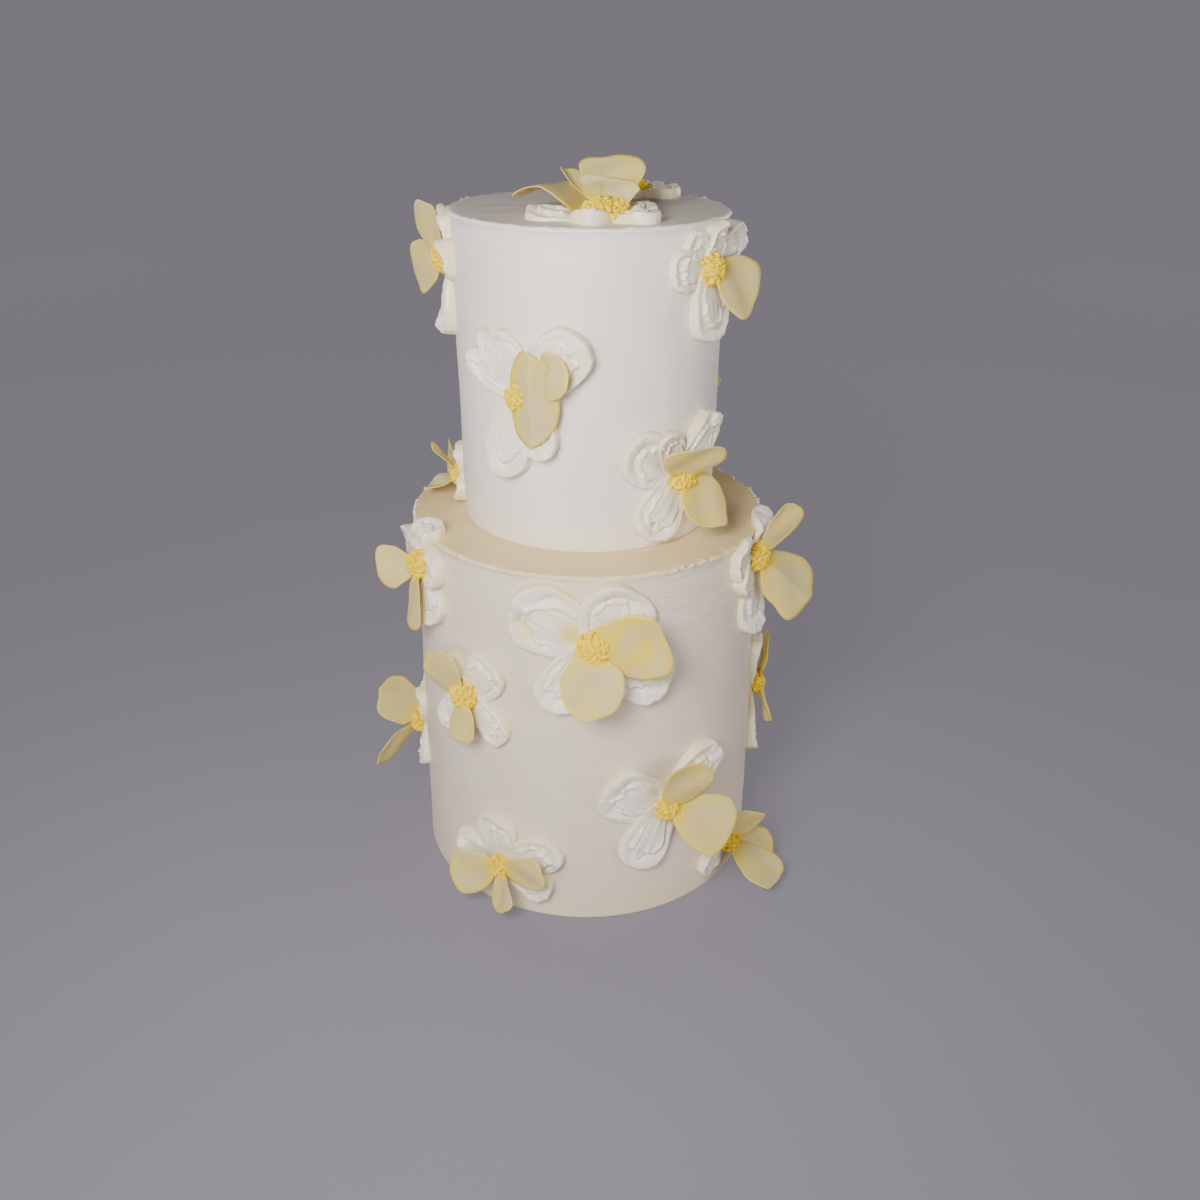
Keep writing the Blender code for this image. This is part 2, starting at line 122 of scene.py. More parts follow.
def makeAir():
    world = bpy.data.worlds.new("studioAir")
    world.use_nodes = True
    air = world.node_tree.nodes["Background"]
    air.inputs["Color"].default_value = (*studio["airColor"], 1)
    air.inputs["Strength"].default_value = studio["airStrength"]
    bpy.context.scene.world = world


def makeFloor():  # half of a section, turned all the way round
    finish, tree, shader = newFinish("studioFloor")
    distance = addNode(tree, "ShaderNodeVectorMath", operation="LENGTH")
    tree.links.new(addNode(tree, "ShaderNodeTexCoord").outputs["Object"], distance.inputs[0])
    far = addSpread(tree, distance.outputs["Value"], studio["nearUpTo"], studio["farFrom"])
    tree.links.new(addMix(tree, far, studio["nearColor"], studio["farColor"]), shader.inputs["Base Color"])
    tree.links.new(addMix(tree, far, studio["nearGlow"], studio["farGlow"]), shader.inputs["Emission Color"])
    shader.inputs["Emission Strength"].default_value = 1.0
    shader.inputs["Roughness"].default_value = 0.9
    shader.inputs["Specular IOR Level"].default_value = 0.0
    flat, sweep = studio["floorRadius"], studio["sweepRadius"]
    section = [(0, 0), (flat, 0)]
    for i in range(1, studio["sweepBends"] + 1):
        bend = math.radians(90 * i / studio["sweepBends"])
        section.append((flat + sweep * math.sin(bend), sweep * (1 - math.cos(bend))))
    section.append((flat + sweep, studio["wallTop"]))
    bm = bmesh.new()
    corners = [bm.verts.new((r, 0, z)) for r, z in section]
    sides = [bm.edges.new(pair) for pair in zip(corners, corners[1:])]
    bmesh.ops.spin(bm, geom=corners + sides, cent=(0, 0, 0), axis=(0, 0, 1), angle=math.tau,
                   steps=studio["turns"], use_merge=True)
    bmesh.ops.remove_doubles(bm, verts=bm.verts, dist=1e-6)
    bmesh.ops.recalc_face_normals(bm, faces=bm.faces)
    linkPiece("studioFloor", bm, finish)


def makeStudio():
    for lamp in studio["lamps"]:
        makeLamp(lamp)
    makeAir()
    makeFloor()


# Shaders, and the node groups that several finishes share

def newFinish(name):
    finish = bpy.data.materials.new(name)
    finish.use_nodes = True
    tree = finish.node_tree
    return finish, tree, tree.nodes["Principled BSDF"]


def newGroup(name, inputs, outputs):
    group = bpy.data.node_groups.new(name, "ShaderNodeTree")
    for label, kind in inputs:
        group.interface.new_socket(label, in_out="INPUT", socket_type=kind)
    for label, kind in outputs:
        group.interface.new_socket(label, in_out="OUTPUT", socket_type=kind)
    return group, group.nodes.new("NodeGroupInput"), group.nodes.new("NodeGroupOutput")


def addNode(tree, kind, **settings):
    node = tree.nodes.new(kind)
    for key, value in settings.items():
        setattr(node, key, value)
    return node


def addMath(tree, operation, first, second):
    node = addNode(tree, "ShaderNodeMath", operation=operation)
    for i, value in enumerate((first, second)):
        if isinstance(value, (int, float)):
            node.inputs[i].default_value = value
        else:
            tree.links.new(value, node.inputs[i])
    return node.outputs[0]


def addMix(tree, share, first, second):
    node = addNode(tree, "ShaderNodeMix", data_type="RGBA", blend_type="MIX")
    tree.links.new(share, node.inputs["Factor"])
    for label, value in (("A", first), ("B", second)):
        socket = [s for s in node.inputs if s.name == label and s.type == "RGBA"][0]
        if isinstance(value, tuple):
            socket.default_value = (*value, 1)
        else:
            tree.links.new(value, socket)
    return [s for s in node.outputs if s.type == "RGBA"][0]


def addNoise(tree, vector, scale, detail, roughness=0.5):
    node = addNode(tree, "ShaderNodeTexNoise")
    tree.links.new(vector, node.inputs["Vector"])
    if isinstance(scale, (int, float)):
        node.inputs["Scale"].default_value = scale
    else:
        tree.links.new(scale, node.inputs["Scale"])
    node.inputs["Detail"].default_value = detail
    node.inputs["Roughness"].default_value = roughness
    return node.outputs["Fac"]


def addSpread(tree, value, low, high):  # stretches low..high to 0..1
    node = addNode(tree, "ShaderNodeMapRange")
    tree.links.new(value, node.inputs["Value"])
    node.inputs["From Min"].default_value = low
    node.inputs["From Max"].default_value = high
    return node.outputs["Result"]


def addStretch(tree, vector, scale):
    node = addNode(tree, "ShaderNodeMapping")
    tree.links.new(vector, node.inputs["Vector"])
    node.inputs["Scale"].default_value = scale
    return node.outputs["Vector"]


def makeButterGroup():  # soft mottling and the fine pitted skin of beaten cream
    group, given, result = newGroup(
        "butterSkin",
        [("Vector", "NodeSocketVector"), ("Mottle Scale", "NodeSocketFloat"),
         ("Grain Scale", "NodeSocketFloat")],
        [("Mottle", "NodeSocketFloat"), ("Grain", "NodeSocketFloat")])
    vector = given.outputs["Vector"]
    mottle = addNoise(group, vector, given.outputs["Mottle Scale"], 3.0)
    grain = addNoise(group, vector, given.outputs["Grain Scale"], 2.0)
    group.links.new(addSpread(group, mottle, 0.36, 0.66), result.inputs["Mottle"])
    group.links.new(grain, result.inputs["Grain"])
    return group


def makeKnifeGroup():  # long shallow marks that a palette knife leaves, along the vector's first axis
    group, given, result = newGroup(
        "knifeMarks",
        [("Vector", "NodeSocketVector"), ("Scale", "NodeSocketFloat")],
        [("Height", "NodeSocketFloat")])
    vector = given.outputs["Vector"]
    broad = addNoise(group, addStretch(group, vector, (0.10, 1.0, 1.0)), given.outputs["Scale"], 3.0, 0.6)
    fine = addNoise(group, addStretch(group, vector, (0.16, 3.2, 3.2)), given.outputs["Scale"], 2.0)
    broadPart = addMath(group, "MULTIPLY", broad, 0.7)
    finePart = addMath(group, "MULTIPLY", fine, 0.3)
    group.links.new(addMath(group, "ADD", broadPart, finePart), result.inputs["Height"])
    return group


makeCamera()
makeStudio()
print("camera, lamps and floor are in place")

butterSkin = makeButterGroup()
knifeMarks = makeKnifeGroup()


def placeGroup(tree, group, vector, **values):
    node = addNode(tree, "ShaderNodeGroup", node_tree=group)
    tree.links.new(vector, node.inputs["Vector"])
    for label, value in values.items():
        node.inputs[label.replace("_", " ")].default_value = value
    return node


def addBump(tree, height, distance, strength, under=None):
    node = addNode(tree, "ShaderNodeBump")
    tree.links.new(height, node.inputs["Height"])
    node.inputs["Distance"].default_value = distance
    node.inputs["Strength"].default_value = strength
    if under is not None:
        tree.links.new(under, node.inputs["Normal"])
    return node.outputs["Normal"]


def addRoughness(tree, look, mottle, shader):  # a little rougher in the ivory patches
    spread = addMath(tree, "MULTIPLY", mottle, look["roughSpread"])
    tree.links.new(addMath(tree, "ADD", look["roughness"], spread), shader.inputs["Roughness"])


def addSkin(tree, place, look):
    return placeGroup(tree, butterSkin, place, Mottle_Scale=look["mottle"], Grain_Scale=look["grain"])


def addGrain(tree, skin, look, shader, under=None):  # fine pits, over any larger marks
    normal = addBump(tree, skin.outputs["Grain"], look["grainDepth"], look["grainStrength"], under)
    tree.links.new(normal, shader.inputs["Normal"])


def setSoftness(shader, look):  # how far light goes into it
    shader.inputs["Subsurface Weight"].default_value = look["soft"]
    shader.inputs["Subsurface Radius"].default_value = look["softTint"]
    shader.inputs["Subsurface Scale"].default_value = look["softDepth"]


coatLook = {
    "roughness": 0.36, "roughSpread": 0.14, "specular": 0.5,
    "mottle": 34.0, "grain": 1100.0,
    "marksDepth": 0.0009, "marksClimb": 0.05,  # the knife's marks climb a little as they go round
    "marksLeast": 0.25,  # their share below the height they start from
    "grainDepth": 0.00012, "grainStrength": 0.5,
    "topFrom": 1.3, "topFull": 0.4,  # millimetres below the top, where the top's butter tint comes in
    "soft": 0.12, "softTint": (1.0, 0.75, 0.5), "softDepth": 0.004,
}

creamLook = {
    "white": (0.880, 0.806, 0.715),
    "ivory": (0.865, 0.780, 0.590),
    "stain": (0.86, 0.70, 0.24),
    "ivoryShare": 0.4,
    "roughness": 0.30, "roughSpread": 0.12,
    "mottle": 130.0, "grain": 1400.0, "marks": 6.0,
    "marksDepth": 0.0005, "marksStrength": 0.7,
    "grainDepth": 0.00008, "grainStrength": 0.5,
    "soft": 0.20, "softTint": (1.0, 0.8, 0.5), "softDepth": 0.003,
}

waferLook = {
    "pale": (0.670, 0.540, 0.285),
    "yellow": (0.825, 0.585, 0.050),
    "patches": 0.35,
    "roughness": 0.55, "specular": 0.3,
    "mottle": 90.0, "grain": 1600.0,
    "grainDepth": 0.00012, "grainStrength": 0.6,
    "solid": 0.88,  # 1 can't be seen through at all
    "yellowSolid": 0.12,  # added where it is fully yellow
    "soft": 0.5, "softTint": (1.0, 0.85, 0.4), "softDepth": 0.002,
}

stamenLook = {
    "light": (0.91, 0.69, 0.01),
    # the deep yellow: the crumbs' own deeper tone, and painted shade on the dome in the gaps between the
    # crumbs
    "deepAndGapShade": (0.82, 0.50, 0.0),
    "toneAndGapShadeShare": 0.75, "mottleShare": 0.25,
    "roughness": 0.70, "specular": 0.25,
    "mottle": 400.0, "grain": 2400.0,
    "grainDepth": 0.0001, "grainStrength": 0.4,
    "soft": 0.10, "softTint": (1.0, 0.9, 0.3), "softDepth": 0.0008,
}


def makeCoatFinish(name, tier, markScale, markStrength):
    finish, tree, shader = newFinish(name)
    place = addNode(tree, "ShaderNodeTexCoord").outputs["Object"]
    parts = addNode(tree, "ShaderNodeSeparateXYZ")
    tree.links.new(place, parts.inputs[0])
    height = parts.outputs["Z"]
    turn = addMath(tree, "ARCTAN2", parts.outputs["X"], parts.outputs["Y"])
    alongWall = addMath(tree, "MULTIPLY", turn, tier["radius"] * mm)
    climb = addMath(tree, "MULTIPLY", alongWall, coatLook["marksClimb"])
    unrolled = addNode(tree, "ShaderNodeCombineXYZ")
    tree.links.new(alongWall, unrolled.inputs["X"])
    tree.links.new(addMath(tree, "ADD", height, climb), unrolled.inputs["Y"])
    skin = addSkin(tree, place, coatLook)
    marks = placeGroup(tree, knifeMarks, unrolled.outputs[0], Scale=markScale)
    color = addMix(tree, skin.outputs["Mottle"], tier["white"], tier["ivory"])
    foot = addSpread(tree, height, (tier["base"] + tier["butterHeight"]) * mm, tier["base"] * mm)
    color = addMix(tree, addMath(tree, "MULTIPLY", foot, tier["butterShare"]), color, tier["butter"])
    flatTop = addSpread(tree, height, (tier["top"] - coatLook["topFrom"]) * mm,
                        (tier["top"] - coatLook["topFull"]) * mm)
    color = addMix(tree, addMath(tree, "MULTIPLY", flatTop, tier["topShare"]), color, tier["butter"])
    tree.links.new(color, shader.inputs["Base Color"])
    addRoughness(tree, coatLook, skin.outputs["Mottle"], shader)
    upper = addSpread(tree, height, tier["marksFrom"] * mm, tier["top"] * mm)
    markShare = addMath(tree, "ADD", upper, coatLook["marksLeast"])
    markHeight = addMath(tree, "MULTIPLY", marks.outputs["Height"], markShare)
    marked = addBump(tree, markHeight, coatLook["marksDepth"], markStrength)
    addGrain(tree, skin, coatLook, shader, marked)
    setSoftness(shader, coatLook)
    shader.inputs["Specular IOR Level"].default_value = coatLook["specular"]
    return finish


def makeCreamFinish():
    finish, tree, shader = newFinish("petalCream")
    place = addNode(tree, "ShaderNodeTexCoord").outputs["Object"]
    along = addNode(tree, "ShaderNodeUVMap", uv_map="alongStroke").outputs["UV"]
    stain = addNode(tree, "ShaderNodeAttribute", attribute_name="stain").outputs["Fac"]
    skin = addSkin(tree, place, creamLook)
    marks = placeGroup(tree, knifeMarks, along, Scale=creamLook["marks"])
    ivoryShare = addMath(tree, "MULTIPLY", skin.outputs["Mottle"], creamLook["ivoryShare"])
    color = addMix(tree, ivoryShare, creamLook["white"], creamLook["ivory"])
    color = addMix(tree, stain, color, creamLook["stain"])
    tree.links.new(color, shader.inputs["Base Color"])
    addRoughness(tree, creamLook, skin.outputs["Mottle"], shader)
    marked = addBump(tree, marks.outputs["Height"], creamLook["marksDepth"], creamLook["marksStrength"])
    addGrain(tree, skin, creamLook, shader, marked)
    setSoftness(shader, creamLook)
    return finish


def makeWaferFinish():
    finish, tree, shader = newFinish("waferPaper")
    place = addNode(tree, "ShaderNodeTexCoord").outputs["Object"]
    tint = addNode(tree, "ShaderNodeAttribute", attribute_name="tint").outputs["Fac"]
    skin = addSkin(tree, place, waferLook)
    patches = addMath(tree, "MULTIPLY", skin.outputs["Mottle"], waferLook["patches"])
    share = addMath(tree, "MINIMUM", addMath(tree, "ADD", tint, patches), 1.0)
    tree.links.new(addMix(tree, share, waferLook["pale"], waferLook["yellow"]), shader.inputs["Base Color"])
    shader.inputs["Roughness"].default_value = waferLook["roughness"]
    added = addMath(tree, "MULTIPLY", tint, waferLook["yellowSolid"])
    solid = addMath(tree, "MINIMUM", addMath(tree, "ADD", waferLook["solid"], added), 1.0)
    tree.links.new(solid, shader.inputs["Alpha"])
    addGrain(tree, skin, waferLook, shader)
    setSoftness(shader, waferLook)
    shader.inputs["Specular IOR Level"].default_value = waferLook["specular"]
    return finish


def makeStamenFinish():
    finish, tree, shader = newFinish("stamenCrumbs")
    place = addNode(tree, "ShaderNodeTexCoord").outputs["Object"]
    # the dome holds 1 here, painted shade in the gaps between the crumbs; each crumb holds its own tone below
    # that
    toneAndGapShade = addNode(tree, "ShaderNodeAttribute", attribute_name="toneAndGapShade").outputs["Fac"]
    skin = addSkin(tree, place, stamenLook)
    share = addMath(tree, "ADD", addMath(tree, "MULTIPLY", toneAndGapShade, stamenLook["toneAndGapShadeShare"]),
                    addMath(tree, "MULTIPLY", skin.outputs["Mottle"], stamenLook["mottleShare"]))
    tree.links.new(addMix(tree, share, stamenLook["light"], stamenLook["deepAndGapShade"]), shader.inputs["Base Color"])
    addGrain(tree, skin, stamenLook, shader)
    shader.inputs["Roughness"].default_value = stamenLook["roughness"]
    shader.inputs["Specular IOR Level"].default_value = stamenLook["specular"]
    setSoftness(shader, stamenLook)
    return finish


# The tiers: smooth walls with a thin uneven lip of cream pushed up round each rim

lowerTier = {
    "name": "lower", "base": 0.0, "top": 179.0, "radius": 80.0, "flare": 2.7, "sunk": 0.0, "turns": 480,
    # The lower tier's cream is darker than the upper tier's: painted shade, for the light falling off down
    # the cake
    "white": (0.765, 0.648, 0.536), "ivory": (0.755, 0.628, 0.490), "butter": (0.800, 0.628, 0.288),
    "butterHeight": 24.0, "butterShare": 0.35, "topShare": 0.85, "marksFrom": 110.0, "seed": 3.0,
    "lip": 1.5,
}
upperTier = {  # its foot is pressed a little into the tier below
    "name": "upper", "base": 179.3, "top": 311.3, "radius": 57.8, "flare": -0.9, "sunk": 0.6, "turns": 400,
    "white": (0.845, 0.755, 0.672), "ivory": (0.825, 0.728, 0.622), "butter": (0.830, 0.700, 0.450),
    "butterHeight": 16.0, "butterShare": 0.45, "topShare": 0.10, "marksFrom": 270.0, "seed": 8.0,
    "lip": 0.45,
}
tierShape = {
    "rimRound": 1.4, "footRound": 1.0, "rimLip": 1.1, "lipHeight": 6.0,
    "topStep": 4.0, "wallStep": 2.6, "fineStep": 0.7, "fineReach": 7.0,
    "rimBends": 4, "footBends": 3,
    "lipDepth": 2.2, "lipInset": 5.0,  # how far the uneven lip reaches down the wall and in over the top
    "lumpScale": 5, "smallLumpScale": 17, "patchScale": 4,  # how often they come round the rim
    "fleckScale": 23, "smallFleckScale": 51, "fleckFrom": 0.10, "fleckSize": 2.0,
    "wander": 0.35, "wanderSize": 30, "ripple": 0.12, "rippleSize": 9, "rippleHeight": 3,
    "bead": 0.5, "beadHeight": 0.8, "beadSpread": 1.2,  # where the upper tier stands on the lower one
    "topDip": 0.25, "topDipSize": 14, "topGrain": 0.12, "topGrainSize": 4,
}


def coatRadius(tier, height):  # millimetres, as the solids have it
    partWay = min(max((tier["top"] - height) / (tier["top"] - tier["base"]), 0.0), 1.0)
    lip = min(max(1 - (tier["top"] - height) / tierShape["lipHeight"], 0.0), 1.0)
    return tier["radius"] + tier["flare"] * partWay + tierShape["rimLip"] * lip ** 2


def stepped(start, end, step):
    count = max(round(abs(end - start) / step), 1)
    return [start + (end - start) * i / count for i in range(count)]


def tierOutline(tier):  # half of the outline, from the top's middle out, down the wall and under the foot
    top, base = tier["top"], tier["base"] - tier["sunk"]
    rim, foot = coatRadius(tier, top), coatRadius(tier, base)
    rimRound, footRound = tierShape["rimRound"], tierShape["footRound"]
    fineReach, fineStep = tierShape["fineReach"], tierShape["fineStep"]
    points = [(r, top) for r in stepped(0, rim - fineReach, tierShape["topStep"])]
    points += [(r, top) for r in stepped(rim - fineReach, rim - rimRound, fineStep)]
    for i in range(tierShape["rimBends"] + 1):
        bend = math.radians(90 * i / tierShape["rimBends"])
        reach, rise = rimRound * math.sin(bend), rimRound * math.cos(bend)
        points.append((rim - rimRound + reach, top - rimRound + rise))
    walls = stepped(top - rimRound, top - fineReach, fineStep)[1:]
    walls += stepped(top - fineReach, base + fineReach, tierShape["wallStep"])
    walls += stepped(base + fineReach, base + footRound, fineStep)
    points += [(coatRadius(tier, z), z) for z in walls]
    for i in range(tierShape["footBends"] + 1):
        bend = math.radians(90 * i / tierShape["footBends"])
        reach, drop = footRound * math.cos(bend), footRound * math.sin(bend)
        points.append((foot - footRound + reach, base + footRound - drop))
    return points + [(foot * 0.6, base), (0, base)]


def unevenCoat(tier, x, y, z):  # moves one point of the even coat, all in millimetres
    radius = math.hypot(x, y)
    if radius < 1 or z < tier["base"] - tier["sunk"] + 0.2:
        return x, y, z
    seed = tier["seed"]
    turn = Vector((x / radius, y / radius, 0))
    even = coatRadius(tier, z)
    atRim = bell(z, tier["top"], tierShape["lipDepth"])
    atRim *= ramp(even - tierShape["lipInset"], even - 0.6, radius)
    lumps = noise.noise(turn * tierShape["lumpScale"] + Vector((0, 0, seed)))
    lumps += 0.7 * noise.noise(turn * tierShape["smallLumpScale"] + Vector((0, 0, seed)))
    patch = noise.noise(turn * tierShape["patchScale"] + Vector((5, 0, seed)))
    rough = ramp(-0.15, 0.35, patch)  # some stretches stay smooth
    flecks = noise.noise(turn * tierShape["fleckScale"] + Vector((0, 3, z / 2 + seed)))
    flecks += 0.6 * noise.noise(turn * tierShape["smallFleckScale"] + Vector((2, 3, z)))
    flecks = max(flecks - tierShape["fleckFrom"], 0) * tierShape["fleckSize"] * (0.25 + rough)
    out = atRim * tier["lip"] * (0.5 * lumps + flecks)
    up = atRim * tier["lip"] * (0.4 * lumps + flecks)
    atBead = bell(z, tier["base"] + tierShape["beadHeight"], tierShape["beadSpread"])
    out += tierShape["bead"] * atBead * (1 + noise.noise(turn * 12)) * tier["sunk"]
    here = Vector((x, y, z)) / tierShape["wanderSize"]
    onWall = ramp(radius * 0.9, radius, even + 0.01) * ramp(0, 6, z - tier["base"])
    out += onWall * tierShape["wander"] * noise.noise(here + Vector((seed, 0, 0)))
    size = tierShape["rippleSize"]
    here = Vector((x / size, y / size, z / tierShape["rippleHeight"]))
    out += onWall * tierShape["ripple"] * noise.noise(here)
    if z > tier["top"] - 0.01:
        dip, grain = tierShape["topDipSize"], tierShape["topGrainSize"]
        up += (tierShape["topDip"] * noise.noise(Vector((x / dip, y / dip, seed)))
               + tierShape["topGrain"] * noise.noise(Vector((x / grain, y / grain, seed))))
    return x + turn.x * out, y + turn.y * out, z + up


def makeTier(tier, finish):
    bm = bmesh.new()
    corners = [bm.verts.new((r * mm, 0, z * mm)) for r, z in tierOutline(tier)]
    sides = [bm.edges.new(pair) for pair in zip(corners, corners[1:])]
    bmesh.ops.spin(bm, geom=corners + sides, cent=(0, 0, 0), axis=(0, 0, 1), angle=math.tau,
                   steps=tier["turns"], use_merge=True)
    bmesh.ops.remove_doubles(bm, verts=bm.verts, dist=1e-6)
    for vert in bm.verts:
        x, y, z = unevenCoat(tier, *(vert.co / mm))
        vert.co = Vector((x, y, z)) * mm
    bmesh.ops.recalc_face_normals(bm, faces=bm.faces)
    piece = linkPiece(tier["name"] + "Coat", bm, finish)
    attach(piece, "root")
    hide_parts(tier["name"] + "_tier")


makeTier(lowerTier, makeCoatFinish("lowerCoat", lowerTier, 170.0, 0.8))
makeTier(upperTier, makeCoatFinish("upperCoat", upperTier, 130.0, 0.5))
print("both tiers are coated")


# The flowers, in millimetres, and degrees where 0 is to the right and 90 is up. A stroke is a petal of
# cream, and a sheet is a petal of wafer paper that is lifted off the coat, rolled, curled and folded

def stroke(angle, reach, width, rim=4.0, stain=0.1, tongue=0.8, ragged=0.4, leaf=0.0):
    return {"angle": math.radians(angle), "reach": reach, "width": width, "rim": rim, "stain": stain,
            "tongue": tongue, "ragged": ragged, "leaf": leaf}


def sheet(angle, reach, width, lift, roll=0, curl=0, fold=0, tint=0.16, square=2.4, tip=0.0, skew=0.0,
          taper=0.36, crease=0, start=1.5, seat=5.2, angular=0.34):
    return {"angle": math.radians(angle), "reach": reach, "width": width, "lift": math.radians(lift),
            "roll": math.radians(roll), "curl": math.radians(curl), "fold": math.radians(fold),
            "tint": tint, "square": square, "tip": tip, "skew": skew, "taper": taper,
            "crease": math.radians(crease), "start": start, "seat": seat, "angular": angular}


def crumbs(radius, height):
    return {"radius": radius, "height": height}


